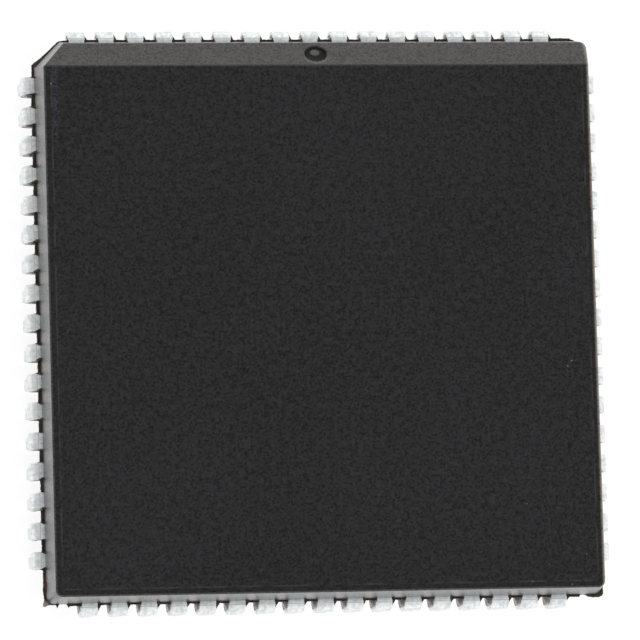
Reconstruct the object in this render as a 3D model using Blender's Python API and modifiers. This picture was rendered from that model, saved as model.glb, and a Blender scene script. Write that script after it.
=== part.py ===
"""Plastic leaded chip carrier with 68 J leads, 17 on a side.

Metres, +Z up. The origin is the centre of the seating plane, which the feet of the
leads touch. The side of pin 1 faces +Y, and pin 1 is the middle lead of that side.
Pins are counted anticlockwise as seen from above.
"""

import math

import bmesh
import bpy
from mathutils import Matrix, Vector
from mathutils.geometry import delaunay_2d_cdt

MM = 0.001

# Leads: how many, their spacing and their section
SIDES = 4
LEADS_PER_SIDE = 17
PITCH = 1.27 * MM
LEAD_THICKNESS = 0.25 * MM
UPPER_WIDTH = 0.74 * MM
LOWER_WIDTH = 0.46 * MM

# Leads: the formed part outside the body, by its outer face
LEAD_REACH = 0.52 * MM
SHOULDER_RADIUS = 0.45 * MM
SHOULDER_FACETS = 3
WIDE_LEG = 0.3 * MM
LEG_TAPER = 0.25 * MM
FOOT_RADIUS = 0.89 * MM
FOOT_SWEEP = math.radians(150)
FACETS_DOWN = 3
FACETS_UP = 2

# Leads: the stamped fingers inside the body, clear of the paddle and of the tie bars
FINGER_WIDTH = 0.3 * MM
FINGER_GAP = 0.6 * MM
TIE_GAP = 0.52 * MM
ANCHOR_LENGTH = 0.86 * MM
GROUND_LEADS = (-5, 0, 5)

# Heights: top of the leadframe above the seating plane, and the body above and below the leadframe
SHOULDER_HEIGHT = 2.54 * MM
UPPER_THICKNESS = 1.83 * MM
LOWER_THICKNESS = 1.65 * MM

# Body: its outline at the parting line, its drafts, its edges and its flash
END_MARGIN = 1.85 * MM
DRAFT_TOP = math.radians(6)
DRAFT_BOTTOM = math.radians(5)
PIN_1_CHAMFER = 1.14 * MM
CORNER_RADIUS = 0.2 * MM
CORNER_FACETS = 3
EDGE_RADIUS = 0.12 * MM
EDGE_FACETS = 2
FLASH = 0.14 * MM
FLASH_CORNER_RADIUS = 0.06 * MM

# Slope of the pin 1 side and its round mark
SLOPE_HEIGHT = 0.74 * MM
SLOPE_RUN = 1.14 * MM
MARK_DIAMETER = 0.92 * MM
MARK_DEPTH = 0.22 * MM
MARK_FACETS = 24

# Underside: a pedestal, and a castellated rim with a pocket for each foot
RIM_DROP = 1.29 * MM
POCKET_DEPTH = 0.4 * MM
POCKET_WIDTH = 0.8 * MM
POCKET_LEDGE = 0.08 * MM
TIP_CLEARANCE = 0.11 * MM
EJECTOR_DIAMETER = 1.6 * MM
EJECTOR_DEPTH = 0.05 * MM
EJECTOR_FACETS = 24

# Die paddle, tie bars, die and the glue under it
PADDLE_SIDE = 9.6 * MM
TIE_WIDTH = 0.36 * MM
TIE_FROM_CORNER = 0.8 * MM
DIE_SIDE = 6.4 * MM
DIE_THICKNESS = 0.38 * MM
ATTACH_SIDE = 6.8 * MM
ATTACH_THICKNESS = 0.04 * MM

# Gap between pieces that meet, and how far a cutter runs past what it cuts
CLEARANCE = 0.02 * MM
OVERRUN = 0.3 * MM

# Places that follow from the sizes above
END_LEAD = (LEADS_PER_SIDE - 1) // 2
BODY_HALF = END_LEAD * PITCH + END_MARGIN
FLASH_HALF = BODY_HALF + FLASH
LEAD_OUTER = BODY_HALF + LEAD_REACH
FRAME_TOP = SHOULDER_HEIGHT
FRAME_BOTTOM = FRAME_TOP - LEAD_THICKNESS
BODY_TOP = FRAME_TOP + UPPER_THICKNESS
BODY_BOTTOM = FRAME_BOTTOM - LOWER_THICKNESS
RIM_BOTTOM = FRAME_BOTTOM - RIM_DROP
FAN_END = BODY_HALF - ANCHOR_LENGTH
SHOULDER_START = LEAD_OUTER - SHOULDER_RADIUS
FINGER_TIP = PADDLE_SIDE / 2 + FINGER_GAP
FINGER_PITCH = (FINGER_TIP - TIE_WIDTH / math.sqrt(2) - TIE_GAP - FINGER_WIDTH / 2) / END_LEAD
TIE_ARM = BODY_HALF - TIE_FROM_CORNER
FOOT_CENTRE = LEAD_OUTER - FOOT_RADIUS
TIP_REACH = FOOT_CENTRE + FOOT_RADIUS * math.cos(FOOT_SWEEP)
PEDESTAL_HALF = TIP_REACH - TIP_CLEARANCE
ATTACH_BOTTOM = FRAME_TOP + CLEARANCE
DIE_BOTTOM = ATTACH_BOTTOM + ATTACH_THICKNESS + CLEARANCE
DIE_TOP = DIE_BOTTOM + DIE_THICKNESS

# What each leg of a 45 degree chamfer loses when its outline is inset, as a share of the inset
CHAMFER_SHARE = 2 - math.sqrt(2)

# Points closer than this are one point, in a flat outline in millimetres and in a mesh
FLAT_EPSILON = 1e-5
WELD_DISTANCE = 1e-7


def clear_scene():
    for obj in list(bpy.data.objects):
        bpy.data.objects.remove(obj)


def new_collection(name):
    collection = bpy.data.collections.new(name)
    bpy.context.scene.collection.children.link(collection)
    return collection


def new_material(name, colour, metallic, roughness):
    material = bpy.data.materials.new(name)
    material.use_nodes = True
    shader = material.node_tree.nodes["Principled BSDF"]
    shader.inputs["Base Color"].default_value = (*colour, 1)
    shader.inputs["Metallic"].default_value = metallic
    shader.inputs["Roughness"].default_value = roughness
    return material


def new_object(name, mesh, collection):
    obj = bpy.data.objects.new(name, mesh)
    collection.objects.link(obj)
    return obj


def new_mesh(name, bm):
    mesh = bpy.data.meshes.new(name)
    bm.to_mesh(mesh)
    bm.free()
    return mesh


def cut(obj, name, mesh, collection):
    """Takes the mesh's shape out of the object, with a cutter that no render shows."""
    cutter = new_object(name, mesh, collection)
    cutter.hide_render = True
    cutter.display_type = "WIRE"
    modifier = obj.modifiers.new(name, "BOOLEAN")
    modifier.operation = "DIFFERENCE"
    modifier.solver = "EXACT"
    modifier.object = cutter


def add_box(bm, low, high):
    low, high = Vector(low), Vector(high)
    size = Matrix.Diagonal((*(high - low), 1))
    bmesh.ops.create_cube(bm, size=1, matrix=Matrix.Translation((low + high) / 2) @ size)


def square_plate(name, side, bottom, top):
    bm = bmesh.new()
    add_box(bm, (-side / 2, -side / 2, bottom), (side / 2, side / 2, top))
    return new_mesh(name, bm)


def side_turn(side):
    """Turns a shape made for +X to a side. The sides are +Y, -X, -Y and +X, in the pins' order."""
    return Matrix.Rotation((side + 1) * math.pi / 2, 4, "Z")


def smooth(mesh):
    mesh.shade_smooth()
    mesh.set_sharp_from_angle(angle=math.radians(35))


# Sheet metal: a surface is the outer face, and the metal lies under it


def sheet_metal(name, bm, thickness, collection):
    """Mesh of a surface thickened away from its normals, by the same amount square to every facet."""
    obj = new_object(name, new_mesh(name, bm), collection)
    modifier = obj.modifiers.new("Thickness", "SOLIDIFY")
    modifier.thickness = thickness
    modifier.offset = -1
    modifier.use_even_offset = True
    graph = bpy.context.evaluated_depsgraph_get()
    mesh = bpy.data.meshes.new_from_object(obj.evaluated_get(graph))
    bpy.data.objects.remove(obj)
    mesh.name = name
    smooth(mesh)
    return mesh


def ribbon(bm, stations):
    """Strip through stations of (outward, along the side, height, half width), facing up and out."""
    before = None
    for outward, along, height, half in stations:
        right = bm.verts.new((outward, along - half, height))
        left = bm.verts.new((outward, along + half, height))
        if before:
            bm.faces.new((before[0], right, left, before[1]))
        before = (right, left)


def formed_stations(index):
    """The lead outside the body: shoulder, leg and the foot that curls under."""
    along = index * PITCH
    wide, narrow = UPPER_WIDTH / 2, LOWER_WIDTH / 2
    stations = []
    bend_height = FRAME_TOP - SHOULDER_RADIUS
    for step in range(SHOULDER_FACETS + 1):
        angle = step / SHOULDER_FACETS * math.pi / 2
        outward = SHOULDER_START + SHOULDER_RADIUS * math.sin(angle)
        height = bend_height + SHOULDER_RADIUS * math.cos(angle)
        stations.append((outward, along, height, wide))
    stations.append((LEAD_OUTER, along, bend_height - WIDE_LEG, wide))
    stations.append((LEAD_OUTER, along, bend_height - WIDE_LEG - LEG_TAPER, narrow))
    foot_step = math.pi / 2 / (FACETS_DOWN + 0.5)
    foot_angles = [step * foot_step for step in range(FACETS_DOWN + 2)]
    last = foot_angles[-1]
    foot_angles += [last + (FOOT_SWEEP - last) * (step + 1) / FACETS_UP for step in range(FACETS_UP)]
    foot_height = FOOT_RADIUS * math.cos(foot_step / 2)
    for angle in foot_angles:
        outward = FOOT_CENTRE + FOOT_RADIUS * math.cos(angle)
        stations.append((outward, along, foot_height - FOOT_RADIUS * math.sin(angle), narrow))
    return stations


def finger_stations(index, height, tip, exit_at, clearance):
    """The flat finger from beside the die, fanning out to the pitch and running straight through the wall."""
    near, far = index * FINGER_PITCH, index * PITCH
    return [
        (tip - clearance, near, height, FINGER_WIDTH / 2 + clearance),
        (FAN_END, far, height, UPPER_WIDTH / 2 + clearance),
        (exit_at, far, height, UPPER_WIDTH / 2 + clearance),
    ]


def lead_mesh(index, collection):
    bm = bmesh.new()
    finger = finger_stations(index, FRAME_TOP, FINGER_TIP, SHOULDER_START, 0)
    ribbon(bm, finger[:-1] + formed_stations(index))
    return sheet_metal(f"lead_{index}", bm, LEAD_THICKNESS, collection)


def single_leads():
    return [index for index in range(-END_LEAD, END_LEAD + 1) if index not in GROUND_LEADS]


def pin_number(side, index):
    return (side * LEADS_PER_SIDE + index) % (SIDES * LEADS_PER_SIDE) + 1


# The die paddle with its tie bars and ground leads, stamped from the same sheet


def arm_end(along, chamfered, clearance):
    """How far out a tie bar's arm is trimmed, at a distance along the side."""
    if clearance:
        return FLASH_HALF + OVERRUN
    if not chamfered:
        return FLASH_HALF
    return min(FLASH_HALF, 2 * FLASH_HALF - chamfer_at(FLASH_HALF) - along)


def tie_bar_outlines(side, clearance):
    """A diagonal bar and its two arms, towards the corner between +X and +Y before the turn."""
    chamfered = side == 0
    half = TIE_WIDTH / 2 + clearance
    across = half / math.sqrt(2)
    low, high = TIE_ARM - half, TIE_ARM + half
    diagonal = [(across, -across), (TIE_ARM + across, TIE_ARM - across)]
    diagonal += [(y, x) for x, y in reversed(diagonal)]
    arm = [(low, low), (arm_end(low, chamfered, clearance), low)]
    arm += [(arm_end(high, chamfered, clearance), high), (low, high)]
    other_arm = [(y, x) for x, y in reversed(arm)]
    return [diagonal, arm, other_arm]


def ground_lead_outline(index, clearance):
    inner = (PADDLE_SIDE / 2 - FINGER_WIDTH, index * FINGER_PITCH, 0, FINGER_WIDTH / 2 + clearance)
    exit_at = FLASH_HALF + OVERRUN if clearance else SHOULDER_START
    stations = [inner] + finger_stations(index, 0, FINGER_TIP, exit_at, clearance)
    right = [(outward, along - half) for outward, along, _, half in stations]
    left = [(outward, along + half) for outward, along, _, half in stations]
    return right + left[::-1]


def paddle_outlines(clearance):
    half = PADDLE_SIDE / 2 + clearance
    outlines = [[Vector(point) for point in ((half, half), (-half, half), (-half, -half), (half, -half))]]
    for side in range(SIDES):
        turn = side_turn(side).to_2x2()
        shapes = tie_bar_outlines(side, clearance)
        shapes += [ground_lead_outline(index, clearance) for index in GROUND_LEADS]
        outlines += [[turn @ Vector(point) for point in shape] for shape in shapes]
    return outlines


def add_flat_union(bm, outlines, height):
    """Faces that cover every outline once, facing up."""
    points, faces = [], []
    for shape in outlines:
        faces.append(list(range(len(points), len(points) + len(shape))))
        points += [point / MM for point in shape]
    points, _, faces, *_ = delaunay_2d_cdt(points, [], faces, 1, FLAT_EPSILON)
    verts = [bm.verts.new((*(point * MM), height)) for point in points]
    made = [bm.faces.new([verts[corner] for corner in face]) for face in faces]
    bmesh.ops.recalc_face_normals(bm, faces=made)
    if made[0].normal.z < 0:
        bmesh.ops.reverse_faces(bm, faces=made)


def paddle_mesh(collection):
    bm = bmesh.new()
    add_flat_union(bm, paddle_outlines(0), FRAME_TOP)
    for side in range(SIDES):
        for index in GROUND_LEADS:
            before = set(bm.verts)
            ribbon(bm, formed_stations(index))
            added = [vert for vert in bm.verts if vert not in before]
            bmesh.ops.transform(bm, matrix=side_turn(side), verts=added)
    bmesh.ops.remove_doubles(bm, verts=bm.verts, dist=WELD_DISTANCE)
    return sheet_metal("die_paddle", bm, LEAD_THICKNESS, collection)


# The moulded body


def chamfer_at(half):
    """Leg of the pin 1 chamfer where the outline is this wide, with every side inset alike."""
    return PIN_1_CHAMFER - CHAMFER_SHARE * (BODY_HALF - half)


def wall_at(height):
    """Distance of the drafted wall from the middle of the body."""
    if height >= FRAME_TOP:
        return BODY_HALF - (height - FRAME_TOP) * math.tan(DRAFT_TOP)
    return BODY_HALF - (FRAME_BOTTOM - height) * math.tan(DRAFT_BOTTOM)


def body_ring(half, height, radius=CORNER_RADIUS):
    """Anticlockwise outline with the chamfer between +Y and -X and three round corners."""
    points = []
    for side in range(SIDES):
        turn = side_turn(side)
        if side == 0:
            inner = half - chamfer_at(half)
            corner = [Vector((half, inner, height)), Vector((inner, half, height))]
        else:
            centre = Vector((half - radius, half - radius, height))
            angles = [step / CORNER_FACETS * math.pi / 2 for step in range(CORNER_FACETS + 1)]
            corner = [centre + radius * Vector((math.cos(a), math.sin(a), 0)) for a in angles]
        points += [turn @ point for point in corner]
    return points


def loft(bm, rings):
    """Closed skin through rings of points, from the lowest up."""
    loops = [[bm.verts.new(point) for point in ring] for ring in rings]
    for lower, upper in zip(loops, loops[1:]):
        for near in range(len(lower)):
            far = (near + 1) % len(lower)
            bm.faces.new((lower[near], lower[far], upper[far], upper[near]))
    bm.faces.new(loops[0][::-1])
    bm.faces.new(loops[-1])


def slope_frame():
    """Middle of the pin 1 slope's lower edge, the way up it, and its outward normal."""
    lower = Vector((0, wall_at(BODY_TOP - SLOPE_HEIGHT), BODY_TOP - SLOPE_HEIGHT))
    up = Vector((0, -SLOPE_RUN, SLOPE_HEIGHT))
    normal = Vector((0, SLOPE_HEIGHT, SLOPE_RUN)).normalized()
    return lower, up, normal


def cut_slope(bm):
    lower, _, normal = slope_frame()
    everything = bm.verts[:] + bm.edges[:] + bm.faces[:]
    cut_through = bmesh.ops.bisect_plane(
        bm, geom=everything, dist=WELD_DISTANCE, plane_co=lower, plane_no=normal, clear_outer=True
    )["geom_cut"]
    edges = [piece for piece in cut_through if isinstance(piece, bmesh.types.BMEdge)]
    bmesh.ops.holes_fill(bm, edges=edges)


def round_top_edges(bm):
    bm.normal_update()
    upward = [face for face in bm.faces if face.normal.z > 0.5 and face.calc_center_median().z > FRAME_TOP]
    edges = list({edge for face in upward for edge in face.edges})
    bmesh.ops.bevel(
        bm,
        geom=edges,
        offset=EDGE_RADIUS,
        segments=EDGE_FACETS,
        profile=0.5,
        affect="EDGES",
        clamp_overlap=True,
    )


def body_mesh():
    """Pedestal, rim, flash at the parting line, drafted walls, the pin 1 slope and softened top edges."""
    rise = (RIM_BOTTOM - BODY_BOTTOM) * math.tan(DRAFT_BOTTOM)
    rings = [
        body_ring(PEDESTAL_HALF, BODY_BOTTOM),
        body_ring(PEDESTAL_HALF + rise, RIM_BOTTOM),
        body_ring(wall_at(RIM_BOTTOM), RIM_BOTTOM),
        body_ring(BODY_HALF, FRAME_BOTTOM),
        body_ring(FLASH_HALF, FRAME_BOTTOM, FLASH_CORNER_RADIUS),
        body_ring(FLASH_HALF, FRAME_TOP, FLASH_CORNER_RADIUS),
        body_ring(BODY_HALF, FRAME_TOP),
        body_ring(wall_at(BODY_TOP), BODY_TOP),
    ]
    bm = bmesh.new()
    loft(bm, rings)
    cut_slope(bm)
    round_top_edges(bm)
    return new_mesh("body", bm)


def pocket_cutter():
    """Under the rim, one pocket for the foot of each lead, open outwards and down."""
    rise = (RIM_BOTTOM - BODY_BOTTOM) * math.tan(DRAFT_BOTTOM)
    inner = PEDESTAL_HALF + rise + POCKET_LEDGE
    bm = bmesh.new()
    for side in range(SIDES):
        before = set(bm.verts)
        for index in range(-END_LEAD, END_LEAD + 1):
            left = index * PITCH - POCKET_WIDTH / 2
            low = (inner, left, RIM_BOTTOM - OVERRUN)
            high = (BODY_HALF + OVERRUN, left + POCKET_WIDTH, RIM_BOTTOM + POCKET_DEPTH)
            add_box(bm, low, high)
        added = [vert for vert in bm.verts if vert not in before]
        bmesh.ops.transform(bm, matrix=side_turn(side), verts=added)
    return new_mesh("pockets", bm)


def finger_cutter(collection):
    """Room for the separate leads, from the finger's tip out through the wall and the flash."""
    bm = bmesh.new()
    for side in range(SIDES):
        before = set(bm.verts)
        for index in single_leads():
            ribbon(
                bm,
                finger_stations(index, FRAME_TOP + CLEARANCE, FINGER_TIP, FLASH_HALF + OVERRUN, CLEARANCE),
            )
        added = [vert for vert in bm.verts if vert not in before]
        bmesh.ops.transform(bm, matrix=side_turn(side), verts=added)
    return sheet_metal("finger_room", bm, LEAD_THICKNESS + 2 * CLEARANCE, collection)


def paddle_cutter(collection):
    bm = bmesh.new()
    add_flat_union(bm, paddle_outlines(CLEARANCE), FRAME_TOP + CLEARANCE)
    return sheet_metal("paddle_room", bm, LEAD_THICKNESS + 2 * CLEARANCE, collection)


def die_cutter():
    """Room for the die and its glue, open below to the paddle's room."""
    side = max(DIE_SIDE, ATTACH_SIDE) + 2 * CLEARANCE
    return square_plate("die_room", side, FRAME_TOP - LEAD_THICKNESS / 2, DIE_TOP + CLEARANCE)


def mark_cutter():
    """Ball that leaves the round mark of pin 1 in the middle of the slope."""
    lower, up, normal = slope_frame()
    rim = MARK_DIAMETER / 2
    radius = (rim**2 + MARK_DEPTH**2) / (2 * MARK_DEPTH)
    centre = lower + up / 2 + normal * (radius - MARK_DEPTH)
    turn = Vector((0, 0, 1)).rotation_difference(normal).to_matrix().to_4x4()
    bm = bmesh.new()
    bmesh.ops.create_uvsphere(
        bm,
        u_segments=MARK_FACETS,
        v_segments=MARK_FACETS // 2,
        radius=radius,
        matrix=Matrix.Translation(centre) @ turn,
    )
    return new_mesh("pin_1_mark", bm)


def ejector_cutter():
    """Shallow round mark of the ejector pin in the middle of the underside."""
    bm = bmesh.new()
    bmesh.ops.create_cone(
        bm,
        cap_ends=True,
        segments=EJECTOR_FACETS,
        radius1=EJECTOR_DIAMETER / 2,
        radius2=EJECTOR_DIAMETER / 2,
        depth=2 * EJECTOR_DEPTH,
        matrix=Matrix.Translation((0, 0, BODY_BOTTOM)),
    )
    return new_mesh("ejector_mark", bm)


def add_body(parts, cutters, material):
    mesh = body_mesh()
    mesh.materials.append(material)
    body = new_object("body", mesh, parts)
    cut(body, "pockets", pocket_cutter(), cutters)
    cut(body, "finger_room", finger_cutter(cutters), cutters)
    cut(body, "paddle_room", paddle_cutter(cutters), cutters)
    cut(body, "die_room", die_cutter(), cutters)
    cut(body, "pin_1_mark", mark_cutter(), cutters)
    cut(body, "ejector_mark", ejector_cutter(), cutters)


def add_leads(parts, material):
    for index in single_leads():
        mesh = lead_mesh(index, parts)
        mesh.materials.append(material)
        for side in range(SIDES):
            lead = new_object(f"lead_{pin_number(side, index):02d}", mesh, parts)
            lead.rotation_euler.z = side_turn(side).to_euler().z


def add_inside(parts, tin, silicon, silver_glue):
    paddle = paddle_mesh(parts)
    paddle.materials.append(tin)
    new_object("die_paddle", paddle, parts)
    attach = square_plate("die_attach", ATTACH_SIDE, ATTACH_BOTTOM, ATTACH_BOTTOM + ATTACH_THICKNESS)
    attach.materials.append(silver_glue)
    new_object("die_attach", attach, parts)
    die = square_plate("die", DIE_SIDE, DIE_BOTTOM, DIE_TOP)
    die.materials.append(silicon)
    new_object("die", die, parts)


def main():
    clear_scene()
    parts = new_collection("plcc_chip")
    cutters = new_collection("cutters")
    compound = new_material("moulding_compound", (0.035, 0.035, 0.037), 0.0, 0.55)
    tin = new_material("tin_plate", (0.78, 0.79, 0.78), 1.0, 0.32)
    silicon = new_material("silicon", (0.16, 0.17, 0.2), 0.6, 0.15)
    silver_glue = new_material("silver_glue", (0.6, 0.6, 0.58), 0.7, 0.5)
    add_body(parts, cutters, compound)
    add_leads(parts, tin)
    add_inside(parts, tin, silicon, silver_glue)


main()
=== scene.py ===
"""Looks of a plastic leaded chip carrier with 68 J leads, lying on its feet on a pale floor.

Metres, +Z up, in the frame of the solids: the origin is the centre of the seating plane,
and the side of pin 1 faces +Y. Shapes of one side are made for +X and turned to their side.
"""

import math
import random

import bmesh
import bpy
from mathutils import Matrix, Vector


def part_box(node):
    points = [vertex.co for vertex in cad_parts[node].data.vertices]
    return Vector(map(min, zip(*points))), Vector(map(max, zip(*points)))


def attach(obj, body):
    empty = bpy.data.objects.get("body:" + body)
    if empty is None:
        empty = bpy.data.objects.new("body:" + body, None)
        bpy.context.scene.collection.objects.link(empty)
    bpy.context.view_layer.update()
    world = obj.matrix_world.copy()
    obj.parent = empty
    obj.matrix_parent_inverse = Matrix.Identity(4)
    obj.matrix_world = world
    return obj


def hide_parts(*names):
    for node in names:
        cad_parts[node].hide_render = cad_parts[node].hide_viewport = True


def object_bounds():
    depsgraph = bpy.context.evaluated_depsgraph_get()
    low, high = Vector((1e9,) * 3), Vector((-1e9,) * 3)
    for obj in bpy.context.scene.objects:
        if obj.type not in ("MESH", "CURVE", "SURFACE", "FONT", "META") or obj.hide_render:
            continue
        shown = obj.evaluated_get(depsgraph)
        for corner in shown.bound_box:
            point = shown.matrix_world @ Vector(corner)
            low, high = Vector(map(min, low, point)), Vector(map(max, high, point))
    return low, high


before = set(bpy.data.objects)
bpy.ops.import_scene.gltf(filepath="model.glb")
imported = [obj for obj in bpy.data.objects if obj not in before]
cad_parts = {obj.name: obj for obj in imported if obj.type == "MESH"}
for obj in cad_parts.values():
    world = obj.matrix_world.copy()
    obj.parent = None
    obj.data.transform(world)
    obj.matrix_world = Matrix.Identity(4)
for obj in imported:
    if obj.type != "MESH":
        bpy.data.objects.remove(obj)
cad_low, cad_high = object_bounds()

MM = 0.001

# Sizes that the solids give
body_low, body_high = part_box("body")
FLASH_HALF = body_high.x
BODY_BOTTOM = body_low.z
BODY_TOP = body_high.z
LEAD_OUTER = cad_high.x

# Leads, as in the solids
SIDES = 4
LEADS_PER_SIDE = 17
PITCH = 1.27 * MM
LEAD_THICKNESS = 0.25 * MM
UPPER_WIDTH = 0.74 * MM
LOWER_WIDTH = 0.46 * MM
SHOULDER_RADIUS = 0.45 * MM
WIDE_LEG = 0.3 * MM
LEG_TAPER = 0.25 * MM
FOOT_RADIUS = 0.89 * MM
FOOT_SWEEP = math.radians(150)
FINGER_WIDTH = 0.3 * MM
FINGER_GAP = 0.6 * MM
TIE_GAP = 0.52 * MM
ANCHOR_LENGTH = 0.86 * MM
GROUND_LEADS = (-5, 0, 5)

# Body, as in the solids
SHOULDER_HEIGHT = 2.54 * MM
FLASH = 0.14 * MM
DRAFT_TOP = math.radians(6)
DRAFT_BOTTOM = math.radians(5)
CHAMFER_SHARE = 2 - math.sqrt(2)
SLOPE_HEIGHT = 0.74 * MM
SLOPE_RUN = 1.14 * MM
RIM_DROP = 1.29 * MM
POCKET_DEPTH = 0.4 * MM
POCKET_WIDTH = 0.8 * MM
POCKET_LEDGE = 0.08 * MM
TIP_CLEARANCE = 0.11 * MM
EJECTOR_DIAMETER = 1.6 * MM
EJECTOR_DEPTH = 0.05 * MM
PADDLE_SIDE = 9.6 * MM
TIE_WIDTH = 0.36 * MM
TIE_FROM_CORNER = 0.8 * MM
OVERRUN = 0.3 * MM

# Places that follow
END_LEAD = (LEADS_PER_SIDE - 1) // 2
BODY_HALF = FLASH_HALF - FLASH
FRAME_TOP = SHOULDER_HEIGHT
FRAME_BOTTOM = FRAME_TOP - LEAD_THICKNESS
RIM_BOTTOM = FRAME_BOTTOM - RIM_DROP
FAN_END = BODY_HALF - ANCHOR_LENGTH
SHOULDER_START = LEAD_OUTER - SHOULDER_RADIUS
FOOT_CENTRE = LEAD_OUTER - FOOT_RADIUS
FINGER_TIP = PADDLE_SIDE / 2 + FINGER_GAP
FINGER_PITCH = (FINGER_TIP - TIE_WIDTH / math.sqrt(2) - TIE_GAP - FINGER_WIDTH / 2) / END_LEAD
TIP_REACH = FOOT_CENTRE + FOOT_RADIUS * math.cos(FOOT_SWEEP)
PEDESTAL_HALF = TIP_REACH - TIP_CLEARANCE
TIE_ARM = BODY_HALF - TIE_FROM_CORNER

# Fineness of the round stretches
SHOULDER_STEPS = 10
TAPER_STEPS = 5
FOOT_STEPS = 30
CORNER_STEPS = 10
EDGE_STEPS = 5
ROUND_STEPS = 64

# Finer shapes of the leads: the forming tool's line, a neck at the wall, rolled upper edges and a burr
TOOL_LINE = 0.12 * MM
NECK_WIDTH = 0.67 * MM
NECK_LENGTH = 0.18 * MM
ROLL_RADIUS = 0.05 * MM
BURR_RADIUS = 0.015 * MM

# Body, fitted to the photograph and a little off the solids. The lean is how much further than its draft
# the wall of pin 1 leans back for each unit up.
PIN_1_CHAMFER = 1.10 * MM
CORNER_RADIUS = 0.3 * MM
EDGE_RADIUS = 0.08 * MM
PIN_1_LEAN = 0.07

# Angles in degrees above which an edge is shown sharp
SHARP_EDGE = 35
SHARP_BODY_EDGE = 40

# Camera: fitted to the leads' places in the photograph of 640 by 640 pixels
CAMERA_PLACE = Vector((-43.843, -25.840, 252.263)) * MM
CAMERA_TURN = (0.1063, -0.1712, -0.0285)
FOCAL_PIXELS = 5944.2
IMAGE_PIXELS = 640
SENSOR = 36.0
CLIP_START = 0.01
CLIP_END = 10.0


def side_turn(side):
    """Turns a shape made for +X to a side. The sides are +Y, -X, -Y and +X, in the pins' order."""
    return Matrix.Rotation((side + 1) * math.pi / 2, 4, "Z")


def pin_number(side, index):
    return (side * LEADS_PER_SIDE + index) % (SIDES * LEADS_PER_SIDE) + 1


def smoothstep(share):
    share = min(max(share, 0.0), 1.0)
    return share * share * (3 - 2 * share)


# Objects and meshes


def new_mesh(name, bm, angle=SHARP_EDGE):
    bmesh.ops.recalc_face_normals(bm, faces=bm.faces)
    mesh = bpy.data.meshes.new(name)
    bm.to_mesh(mesh)
    bm.free()
    mesh.shade_smooth()
    mesh.set_sharp_from_angle(angle=math.radians(angle))
    return mesh


def new_object(name, mesh):
    obj = bpy.data.objects.new(name, mesh)
    bpy.context.scene.collection.objects.link(obj)
    return obj


def new_piece(name, mesh, nodes, materials=(), turn=None):
    """A shown piece that rides on the one body and stands for CAD nodes."""
    obj = new_object(name, mesh)
    if turn is not None:
        obj.matrix_world = turn
    for material in materials:
        if material.name not in mesh.materials:
            mesh.materials.append(material)
    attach(obj, "root")
    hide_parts(*nodes)
    return obj


def loft(bm, rings, materials=None, capped=True):
    """Skin through rings of points. The material index of each stretch may be given."""
    loops = [[bm.verts.new(point) for point in ring] for ring in rings]
    for lower, upper in zip(loops, loops[1:]):
        for near in range(len(lower)):
            far = (near + 1) % len(lower)
            face = bm.faces.new((lower[near], lower[far], upper[far], upper[near]))
            if materials:
                face.material_index = materials[near]
    if capped:
        bm.faces.new(loops[0][::-1])
        bm.faces.new(loops[-1])
    return loops


def cut(obj, name, mesh):
    """Takes the mesh's shape out of the object at once, and removes the cutter."""
    cutter = new_object(name, mesh)
    modifier = obj.modifiers.new(name, "BOOLEAN")
    modifier.operation = "DIFFERENCE"
    modifier.solver = "EXACT"
    modifier.object = cutter
    depsgraph = bpy.context.evaluated_depsgraph_get()
    result = bpy.data.meshes.new_from_object(obj.evaluated_get(depsgraph))
    obj.modifiers.clear()
    obj.data = result
    bpy.data.objects.remove(cutter)


# Node materials


class Graph:
    """Short calls for a node tree."""

    def __init__(self, tree):
        self.tree = tree
        self.tree.nodes.clear()

    def add(self, kind, inputs=None, **settings):
        node = self.tree.nodes.new(kind)
        for name, value in settings.items():
            setattr(node, name, value)
        for name, value in (inputs or {}).items():
            if isinstance(value, bpy.types.NodeSocket):
                self.tree.links.new(value, node.inputs[name])
            else:
                node.inputs[name].default_value = value
        return node

    def math(self, operation, *values, clamp=False):
        inputs = dict(enumerate(values))
        return self.add("ShaderNodeMath", inputs, operation=operation, use_clamp=clamp).outputs[0]

    def ramp(self, value, low, high, to_low=0.0, to_high=1.0):
        inputs = {"Value": value, "From Min": low, "From Max": high, "To Min": to_low, "To Max": to_high}
        return self.add("ShaderNodeMapRange", inputs, interpolation_type="SMOOTHSTEP").outputs[0]

    def noise(self, vector, scale, detail=3.0, roughness=0.55):
        inputs = {"Vector": vector, "Scale": scale, "Detail": detail, "Roughness": roughness}
        return self.add("ShaderNodeTexNoise", inputs).outputs["Fac"]

    def blend(self, *parts):
        """Sum of values, each given with its weight."""
        total = 0.0
        for value, weight in parts:
            total = self.math("MULTIPLY_ADD", value, weight, total)
        return total

    def mix(self, factor, first, second):
        node = self.add("ShaderNodeMix", data_type="RGBA")
        sockets = [socket for socket in node.inputs if socket.enabled]
        for socket, value in zip(sockets, (factor, first, second)):
            if isinstance(value, bpy.types.NodeSocket):
                self.tree.links.new(value, socket)
            else:
                socket.default_value = value
        return next(socket for socket in node.outputs if socket.enabled)

    def millimetres(self, stretch=(1, 1, 1)):
        """Object coordinates in millimetres, stretched along the axes."""
        coordinates = self.add("ShaderNodeTexCoord").outputs["Object"]
        scale = tuple(share / MM for share in stretch)
        return self.add("ShaderNodeMapping", {"Vector": coordinates, "Scale": scale}).outputs[0]

    def bump(self, height, distance, normal=None):
        inputs = {"Height": height, "Distance": distance, "Strength": 1.0}
        if normal:
            inputs["Normal"] = normal
        return self.add("ShaderNodeBump", inputs).outputs[0]

    def surface(self, shader):
        self.add("ShaderNodeOutputMaterial", {"Surface": shader})


def new_material(name):
    material = bpy.data.materials.new(name)
    material.use_nodes = True
    return material, Graph(material.node_tree)


def grey(value, warmth=0.0):
    return (value * (1 + warmth), value, value * (1 - warmth), 1)


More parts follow.
